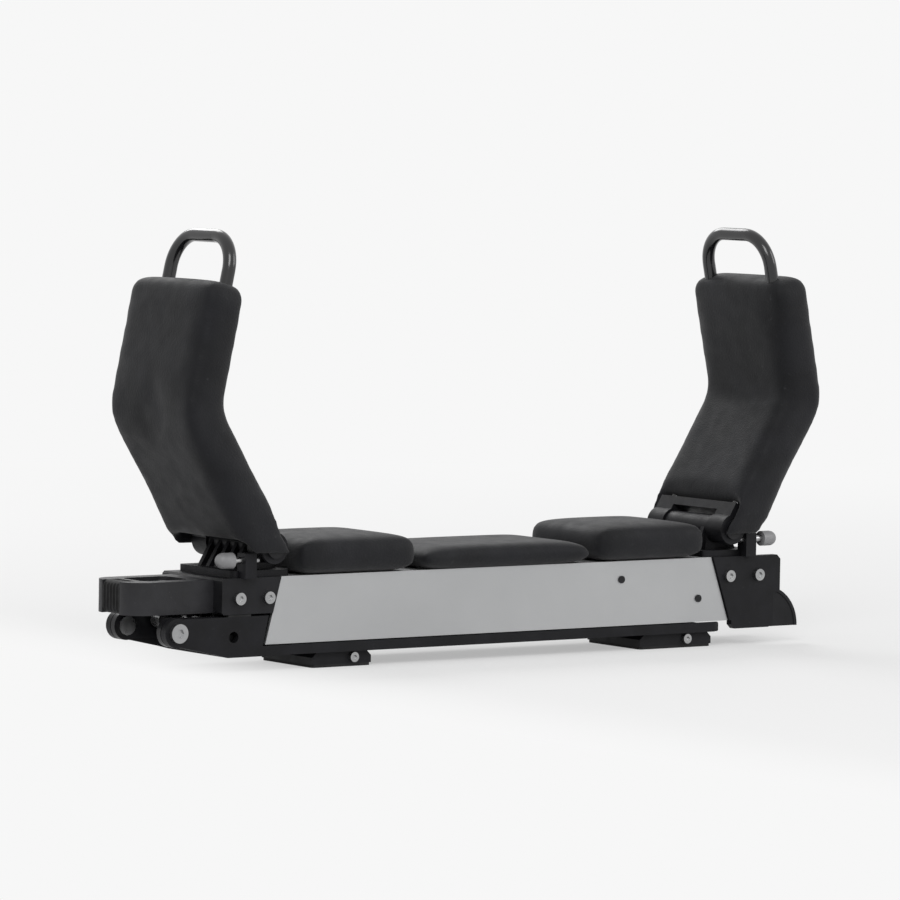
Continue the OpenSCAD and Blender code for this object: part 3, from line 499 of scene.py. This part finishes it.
@dataclass
class FoamShaper:
    """Swells a foam form a little, as a cloth under pressure, and applies the result.

    Attributes:
        voxel: The remesh size in metres.
        pressure: The cloth's inner pressure.
        cap: The farthest that a point may move, in metres.
        frames: The number of simulated frames.
        passes: How many times the remeshed skin is smoothed.
        ease: How far each pass moves a point towards its neighbours' middle.
        quality: The cloth's steps to a frame.
        mass: The cloth's mass.
        stiffness: The cloth's stiffness against stretch and squeeze.
        bending: The cloth's stiffness against bending.
    """

    voxel: float = 4.0 * MM
    pressure: float = 4.0
    cap: float = 3.0 * MM
    frames: int = 20
    passes: int = 6
    ease: float = 0.5
    quality: int = 5
    mass: float = 0.4
    stiffness: float = 40.0
    bending: float = 8.0

    def shape(self, piece: Piece) -> None:
        """Remesh the piece, swell it and give it one subdivision.

        Args:
            piece: The foam form, slightly smaller than the finished one.
        """
        remesh = piece.modifiers.new("remesh", "REMESH")
        remesh.mode = "VOXEL"
        remesh.voxel_size = self.voxel
        remesh.use_smooth_shade = True
        self._apply(piece)
        self._even(piece)
        self._swell(piece)
        self._even(piece)
        finer = piece.modifiers.new("finer", "SUBSURF")
        finer.levels = finer.render_levels = 1

    def _apply(self, piece: Piece) -> None:
        """Apply every modifier of the piece to its mesh.

        Args:
            piece: The piece, which keeps its materials.
        """
        graph = bpy.context.evaluated_depsgraph_get()
        baked = bpy.data.meshes.new_from_object(piece.evaluated_get(graph))
        piece.modifiers.clear()
        old = piece.data
        materials = list(old.materials)
        piece.data = baked
        if not baked.materials:
            for material in materials:
                baked.materials.append(material)
        bpy.data.meshes.remove(old)
        for face in baked.polygons:
            face.use_smooth = True

    def _even(self, piece: Piece) -> None:
        """Smooth away the steps that the remesh leaves on slanted faces.

        Args:
            piece: The remeshed piece.
        """
        bm = bmesh.new()
        bm.from_mesh(piece.data)
        for _ in range(self.passes):
            bmesh.ops.smooth_vert(bm, verts=bm.verts, factor=self.ease, use_axis_x=True,
                                  use_axis_y=True, use_axis_z=True)
        bm.to_mesh(piece.data)
        bm.free()

    def _swell(self, piece: Piece) -> None:
        """Run the cloth and keep each point within the cap of its start.

        Args:
            piece: The remeshed and smoothed piece.
        """
        start = [v.co.copy() for v in piece.data.vertices]
        cloth = piece.modifiers.new("cloth", "CLOTH")
        cloth.settings.quality = self.quality
        cloth.settings.mass = self.mass
        cloth.settings.tension_stiffness = self.stiffness
        cloth.settings.compression_stiffness = self.stiffness
        cloth.settings.bending_stiffness = self.bending
        cloth.settings.use_pressure = True
        cloth.settings.uniform_pressure_force = self.pressure
        cloth.settings.effector_weights.gravity = 0.0
        cloth.collision_settings.use_collision = False
        scene = bpy.context.scene
        for step in range(1, self.frames + 1):
            scene.frame_set(step)
        graph = bpy.context.evaluated_depsgraph_get()
        moved = piece.evaluated_get(graph).to_mesh()
        ends = [v.co.copy() for v in moved.vertices]
        piece.evaluated_get(graph).to_mesh_clear()
        piece.modifiers.clear()
        for vert, first, last in zip(piece.data.vertices, start, ends):
            way = last - first
            vert.co = first + way * min(1.0, self.cap / max(way.length, TINY))
        scene.frame_set(1)


@dataclass
class PaddedArm:
    """A folding arm's foam: a bent block round the rod's two legs.

    Attributes:
        side: The end that the arm stands at.
        hinge: The hinge's place, as X and Z, in metres.
        lower_lean: The outward lean below the knee, in degrees.
        upper_lean: The inward lean above the knee, in degrees.
        start: The distance from the hinge to the foam's foot.
        knee: The distance from the hinge to the knee.
        top: The distance from the knee to the foam's top end.
        inside: The foam on the kayak's side of the rod's middle.
        outside: The foam behind the rod's middle.
        width: The foam's width across the bar.
        shrink: How much smaller each face starts before it swells.
        edge: The radius of the long edges.
        foot_edge: The radius of the upright edges of the skirt and flanks.
        crown: The radius of the top's two corners.
        skirt_in: The distance from the rod's middle to the skirt behind the hub.
        skirt_z: The skirt's foot over the hinge.
        flank_in: The distance from the middle to the flanks beside the hub.
        flank_z: The flanks' foot over the hinge.
        shaper: What swells the form.
    """

    side: Side
    hinge: Pair
    lower_lean: float = 31.0
    upper_lean: float = 12.0
    start: float = 24.0 * MM
    knee: float = 142.0 * MM
    top: float = 116.0 * MM
    inside: float = 14.0 * MM
    outside: float = 28.0 * MM
    width: float = 138.0 * MM
    shrink: float = 1.4 * MM
    edge: float = 6.0 * MM
    foot_edge: float = 2.0 * MM
    crown: float = 15.0 * MM
    skirt_in: float = 17.0 * MM
    skirt_z: float = 2.0 * MM
    flank_in: float = 60.2 * MM
    flank_z: float = -9.0 * MM
    shaper: FoamShaper = field(default_factory=FoamShaper)

    def _along(self, degrees: float) -> Vector:
        """The unit vector that leans out by so many degrees from upright."""
        a = math.radians(degrees)
        return Vector((-math.sin(a), 0.0, math.cos(a)))

    def form(self) -> BMesh:
        """The whole foam, turned to its side, in the shared frame.

        Returns:
            The foam's form.
        """
        bm = join([self._block(), *self._feet()])
        if self.side is Side.INNER:
            bmesh.ops.scale(bm, vec=(-1.0, 1.0, 1.0), verts=bm.verts)
        bmesh.ops.translate(bm, vec=(self.hinge[0], 0.0, self.hinge[1]), verts=bm.verts)
        return bm

    def _block(self) -> BMesh:
        """The bent block of the outer arm, in the hinge's own frame.

        Returns:
            The block, with its corners and edges round.
        """
        low, high = self._along(self.lower_lean), self._along(-self.upper_lean)
        inward = Vector((low.z, 0.0, -low.x))
        half = math.radians((self.lower_lean + self.upper_lean) / 2)
        s = self.shrink
        face = self.inside - s
        spare = face * math.tan(half)
        straight = self.knee - self.start - s - spare
        bm = self._base(low * (self.start + s) + inward * (self.inside - self.outside) / 2)
        end = self._extrude(bm, bm.faces[:], low * straight)
        pivot = low * (self.start + s + straight) + inward * face
        end = self._bend(bm, end, pivot, 2 * half)
        end = self._extrude(bm, end, high * (self.top - spare - s))
        soft_bevel(bm, [e for f in end for e in f.edges if reach(e, Y) < MM], self.crown, CORNER_SEGMENTS)
        bmesh.ops.remove_doubles(bm, verts=bm.verts, dist=BEND_WELD)
        sharp = [e for e in bm.edges if len(e.link_faces) == 2 and e.calc_face_angle(0.0) > SHARP_ANGLE]
        soft_bevel(bm, sharp, self.edge, EDGE_SEGMENTS)
        return bm

    def _base(self, foot: Vector) -> BMesh:
        """The block's lowest face, square to the lower lean.

        Args:
            foot: The face's middle, in the hinge's own frame.

        Returns:
            A mesh of that one face.
        """
        depth = self.inside + self.outside - 2 * self.shrink
        bm = bmesh.new()
        bmesh.ops.create_grid(bm, x_segments=1, y_segments=1, size=0.5)
        bmesh.ops.scale(bm, vec=(depth, self.width - 2 * self.shrink, 1.0), verts=bm.verts)
        bmesh.ops.transform(bm, matrix=Matrix.Translation(foot) @ self._tilt(), verts=bm.verts)
        return bm

    def _tilt(self) -> Matrix:
        """The turn from upright to the lower lean."""
        return Matrix.Rotation(-math.radians(self.lower_lean), 4, "Y")

    def _bend(self, bm: BMesh, faces: list[Face], pivot: Vector, angle: float) -> list[Face]:
        """Spin end faces about a pivot, which bends the block there.

        Args:
            bm: The block.
            faces: Its end faces.
            pivot: A point on the bend's axis.
            angle: The bend, in radians.

        Returns:
            The new end faces.
        """
        geom = faces + [e for f in faces for e in f.edges] + [v for f in faces for v in f.verts]
        bend = bmesh.ops.spin(bm, geom=geom, cent=pivot, axis=Y_AXIS, angle=angle, steps=BEND_STEPS,
                              use_merge=False)
        return [g for g in bend["geom_last"] if isinstance(g, Face)]

    def _extrude(self, bm: BMesh, faces: list[Face], way: Vector) -> list[Face]:
        """Extrude end faces along a way.

        Args:
            bm: The block.
            faces: Its end faces.
            way: How far they go, and where to.

        Returns:
            The new end faces.
        """
        made = bmesh.ops.extrude_face_region(bm, geom=faces)["geom"]
        bmesh.ops.translate(bm, vec=way, verts=[g for g in made if isinstance(g, Vert)])
        return [g for g in made if isinstance(g, Face)]

    def _foot(self, inner: float, sides: Pair, low: float) -> BMesh:
        """A foam block beside or behind the hub, cut level at its foot.

        Args:
            inner: Its kayak side, from the rod's middle.
            sides: Its two faces across the bar.
            low: The height of its foot over the hinge.

        Returns:
            The block, in the hinge's own frame.
        """
        s = self.shrink
        top = (inner, sides[1], self.start + self.outside)
        bm = box_mesh((s - self.outside, sides[0], -self.start), top)
        soft_bevel(bm, [e for e in bm.edges if reach(e, Z) > MM], self.foot_edge, FOOT_SEGMENTS)
        bmesh.ops.transform(bm, matrix=self._tilt(), verts=bm.verts)
        trim(bm, (0.0, 0.0, low + s), (0.0, 0.0, -1.0))
        return bm

    def _feet(self) -> list[BMesh]:
        """The skirt behind the hub and the two flanks beside it.

        Returns:
            The three blocks, in the hinge's own frame.
        """
        s, half = self.shrink, self.width / 2
        return [self._foot(-self.skirt_in - s, (s - half, half - s), self.skirt_z),
                self._foot(self.inside - s, (self.flank_in, half - s), self.flank_z),
                self._foot(self.inside - s, (s - half, -self.flank_in), self.flank_z)]

    def build(self) -> Piece:
        """Make the arm's foam and put it in place of its CAD node.

        Returns:
            The foam.
        """
        name = self.side.value
        piece = new_piece(f"{name}_arm_foam", self.form(), FOAM, f"{name}_arm")
        self.shaper.shape(piece)
        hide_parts(f"{name}_arm_pad")
        return piece


@dataclass
class SaddlePad:
    """A foam block on the channel's top, with round top corners.

    Attributes:
        node: The CAD node that it stands for.
        corner: The radius of its top corners, in metres.
        shrink: How much smaller each face starts before it swells.
        shaper: What swells the pad.
    """

    node: str
    corner: float = 12.0 * MM
    shrink: float = 1.2 * MM
    shaper: FoamShaper = field(default_factory=lambda: FoamShaper(voxel=5.0 * MM, cap=2.4 * MM))

    def build(self) -> Piece:
        """Make the pad in the space of its CAD node.

        Returns:
            The pad.
        """
        low, high = (Vector(v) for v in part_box(self.node))
        s = Vector((self.shrink,) * 3)
        bm = box_mesh(low + s, high - s)
        crown = [e for e in bm.edges if all(v.co.z > (low.z + high.z) / 2 for v in e.verts)]
        ends = [e for e in crown if reach(e, Y) > MM]
        soft_bevel(bm, ends, self.corner - self.shrink, CORNER_SEGMENTS)
        piece = new_piece(self.node.replace("_pad", "_foam"), bm, FOAM, "cradle")
        self.shaper.shape(piece)
        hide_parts(self.node)
        return piece


# Plastic details


@dataclass
class HeelGuard:
    """The round guard past the heel bracket's leg, one plate to a side.

    Attributes:
        centre: The guard's lower corner, as X and Z, in metres.
        radius: The radius of its round edge.
        face: The distance of its outer face from the middle.
        thick: The plate's thickness.
        rim: The width of the raised rim.
        rise: How far the rim stands proud.
        segments: The number of segments that a whole round would have.
    """

    centre: Pair = (294.0 * MM, 16.0 * MM)
    radius: float = 38.0 * MM
    face: float = 45.0 * MM
    thick: float = 3.6 * MM
    rim: float = 3.0 * MM
    rise: float = 0.8 * MM
    segments: int = 96

    def _plate(self, side: int) -> BMesh:
        """A quarter disc with a raised rim.

        Args:
            side: The side of the unit across the bar, -1 or 1.

        Returns:
            The plate, in its place.
        """
        bm = bmesh.new()
        turn = Matrix.Rotation(math.pi / 2, 4, "X")
        bmesh.ops.create_cone(bm, cap_ends=True, cap_tris=False, segments=self.segments,
                              radius1=self.radius, radius2=self.radius, depth=self.thick, matrix=turn)
        for cap in [f for f in bm.faces if len(f.verts) > 4]:
            for thickness, depth in ((self.rim, 0.0), (self.rise / 2, -self.rise)):
                bm.normal_update()
                bmesh.ops.inset_individual(bm, faces=[cap], thickness=thickness, depth=depth)
        for way in ((-1.0, 0.0, 0.0), (0.0, 0.0, -1.0)):
            trim(bm, (0.0, 0.0, 0.0), way)
        middle = side * (self.face - self.thick / 2)
        bmesh.ops.translate(bm, vec=(self.centre[0], middle, self.centre[1]), verts=bm.verts)
        return bm

    def build(self) -> Piece:
        """Make both plates as one piece.

        Returns:
            The guard.
        """
        return new_piece("heel_guard", join([self._plate(-1), self._plate(1)]), PLASTIC, "cradle")


# Stage


@dataclass(frozen=True)
class Lamp:
    """One soft, square lamp that looks at the unit.

    Attributes:
        name: The lamp's name.
        place: Its place in metres.
        size: The side of its square, in metres.
        power: Its power in watts.
    """

    name: str
    place: Triple
    size: float
    power: float


LAMPS = (Lamp("key", (-2.0, -2.6, 2.6), 1.8, 62.0),
         Lamp("fill", (2.6, -2.2, 1.6), 1.6, 26.0),
         Lamp("back", (0.4, 2.4, 2.2), 1.6, 34.0))


@dataclass
class Studio:
    """The floor, the lights and the camera at the photograph's viewing angle.

    Attributes:
        camera_at: The camera's place, in metres.
        look_at: The point in the picture's middle.
        lens: The lens in millimetres.
        sensor: The width of the camera's sensor in millimetres.
        clip: The nearest and farthest that the camera sees.
        roll: The camera's turn about its own line of sight, in degrees.
        ledge: Where the floor ends past the handle, so that the cradle can swing down there.
        floor_half: Half the floor's side.
        floor_grey: The floor's own colour.
        floor_rough: The floor's roughness.
        pale: The brightness of the background.
        dim: The world's strength as a light on the object.
        haze: The share of the background's glow that the floor shows near the unit.
        far: The distances from the unit over which that share rises to the whole.
        brink: The width of the strip at the ledge over which it does so too.
    """

    camera_at: Vector = field(default_factory=lambda: Vector((-3.106, -4.19, 0.52)))
    look_at: Vector = field(default_factory=lambda: Vector((-0.045, 0.0, 0.188)))
    lens: float = 228.0
    sensor: float = 36.0
    clip: Pair = (0.05, 60.0)
    roll: float = 1.0
    ledge: float = -0.375
    floor_half: float = 12.0
    floor_grey: float = 0.80
    floor_rough: float = 0.85
    pale: float = 0.93
    dim: float = 0.5
    haze: float = 0.45
    far: Pair = (0.5, 2.6)
    brink: float = 0.22

    def _facing(self, place: Sequence[float]) -> Quaternion:
        """The turn that makes a lamp or a camera at a place look at the unit."""
        return (self.look_at - Vector(place)).to_track_quat("-Z", "Y")

    def camera(self) -> None:
        """Make the camera."""
        data = bpy.data.cameras.new("camera")
        data.lens = self.lens
        data.sensor_width = self.sensor
        data.clip_start, data.clip_end = self.clip
        cam = placed("camera", data)
        cam.location = self.camera_at
        roll = Matrix.Rotation(math.radians(self.roll), 3, "Z")
        cam.rotation_euler = (self._facing(self.camera_at).to_matrix() @ roll).to_euler()
        bpy.context.scene.camera = cam

    def lamp(self, lamp: Lamp) -> None:
        """Make one lamp.

        Args:
            lamp: What it is like.
        """
        data = bpy.data.lights.new(lamp.name, "AREA")
        data.shape = "SQUARE"
        data.size = lamp.size
        data.energy = lamp.power
        made = placed(lamp.name, data)
        made.location = lamp.place
        made.rotation_euler = self._facing(lamp.place).to_euler()

    def seen(self, tree: Tree) -> Socket:
        """A value of 1 for camera, glossy and transmission rays.

        Args:
            tree: The node tree to add it to.

        Returns:
            The value.
        """
        path = tree.nodes.new("ShaderNodeLightPath")
        either = maths(tree, "MAXIMUM", path.outputs["Is Camera Ray"], path.outputs["Is Glossy Ray"])
        return maths(tree, "MAXIMUM", either, path.outputs["Is Transmission Ray"])

    def _fade(self, tree: Tree) -> Socket:
        """A value that rises to 1 far from the unit and at the floor's near end.

        Args:
            tree: The floor's node tree.

        Returns:
            The value.
        """
        coords = tree.nodes.new("ShaderNodeTexCoord").outputs["Object"]
        length = tree.nodes.new("ShaderNodeVectorMath")
        length.operation = "LENGTH"
        tree.links.new(coords, length.inputs[0])
        split = tree.nodes.new("ShaderNodeSeparateXYZ")
        tree.links.new(coords, split.inputs[0])
        far = spread(tree, length.outputs["Value"], self.far, (self.haze, 1.0), Curve.EASED)
        strip = (self.ledge, self.ledge + self.brink)
        near = spread(tree, split.outputs["X"], strip, (1.0, self.haze), Curve.EASED)
        return maths(tree, "MAXIMUM", far, near)

    def floor(self) -> None:
        """Make the pale floor, which keeps the unit's shadow and ends past the handle."""
        bm = bmesh.new()
        bmesh.ops.create_grid(bm, x_segments=1, y_segments=1, size=self.floor_half,
                              matrix=Matrix.Translation((self.floor_half + self.ledge, 0.0, 0.0)))
        floor = placed("floor", mesh_of("floor", bm))
        mat = bpy.data.materials.new("pale_floor")
        mat.use_nodes = True
        tree = mat.node_tree
        shader = tree.nodes["Principled BSDF"]
        shader.inputs["Base Color"].default_value = (*(self.floor_grey,) * 3, 1.0)
        shader.inputs["Roughness"].default_value = self.floor_rough
        glow = tree.nodes.new("ShaderNodeEmission")
        glow.inputs["Color"].default_value = WHITE
        glow.inputs["Strength"].default_value = self.pale
        blend = tree.nodes.new("ShaderNodeMixShader")
        tree.links.new(maths(tree, "MULTIPLY", self.seen(tree), self._fade(tree)), blend.inputs[0])
        tree.links.new(shader.outputs[0], blend.inputs[1])
        tree.links.new(glow.outputs[0], blend.inputs[2])
        tree.links.new(blend.outputs[0], tree.nodes["Material Output"].inputs["Surface"])
        floor.data.materials.append(mat)

    def world(self) -> None:
        """Make a plain pale surround."""
        world = bpy.data.worlds.new("surround")
        bpy.context.scene.world = world
        world.use_nodes = True
        tree = world.node_tree
        sky = tree.nodes["Background"]
        sky.inputs["Color"].default_value = WHITE
        level = spread(tree, self.seen(tree), (0.0, 1.0), (self.dim, self.pale))
        tree.links.new(level, sky.inputs["Strength"])

    def build(self) -> None:
        """Make the whole stage."""
        self.camera()
        self.floor()
        self.world()
        for lamp in LAMPS:
            self.lamp(lamp)
        bpy.context.scene.view_settings.view_transform = "Standard"


def dress_nodes() -> None:
    """Give every carried-over CAD node its finish."""
    for finish, nodes in NODE_FINISHES.items():
        for node in nodes:
            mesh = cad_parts[node].data
            mesh.materials.clear()
            mesh.materials.append(finish.build())
    LOG.info("dressed %d nodes", sum(len(n) for n in NODE_FINISHES.values()))


def main() -> None:
    """Build the stage, the finishes and every piece, in order."""
    logging.basicConfig(level=logging.INFO, format="%(name)s: %(message)s")
    Studio().build()
    dress_nodes()
    builders: list[Callable[[], Piece]] = [
        *(PaddedArm(side, hinge).build for side, hinge in ARM_HINGES.items()),
        *(SaddlePad(node).build for node in ("outer_lower_pad", "middle_pad", "inner_lower_pad")),
        HeelGuard().build,
    ]
    for build in builders:
        build()


if __name__ == "__main__":
    main()
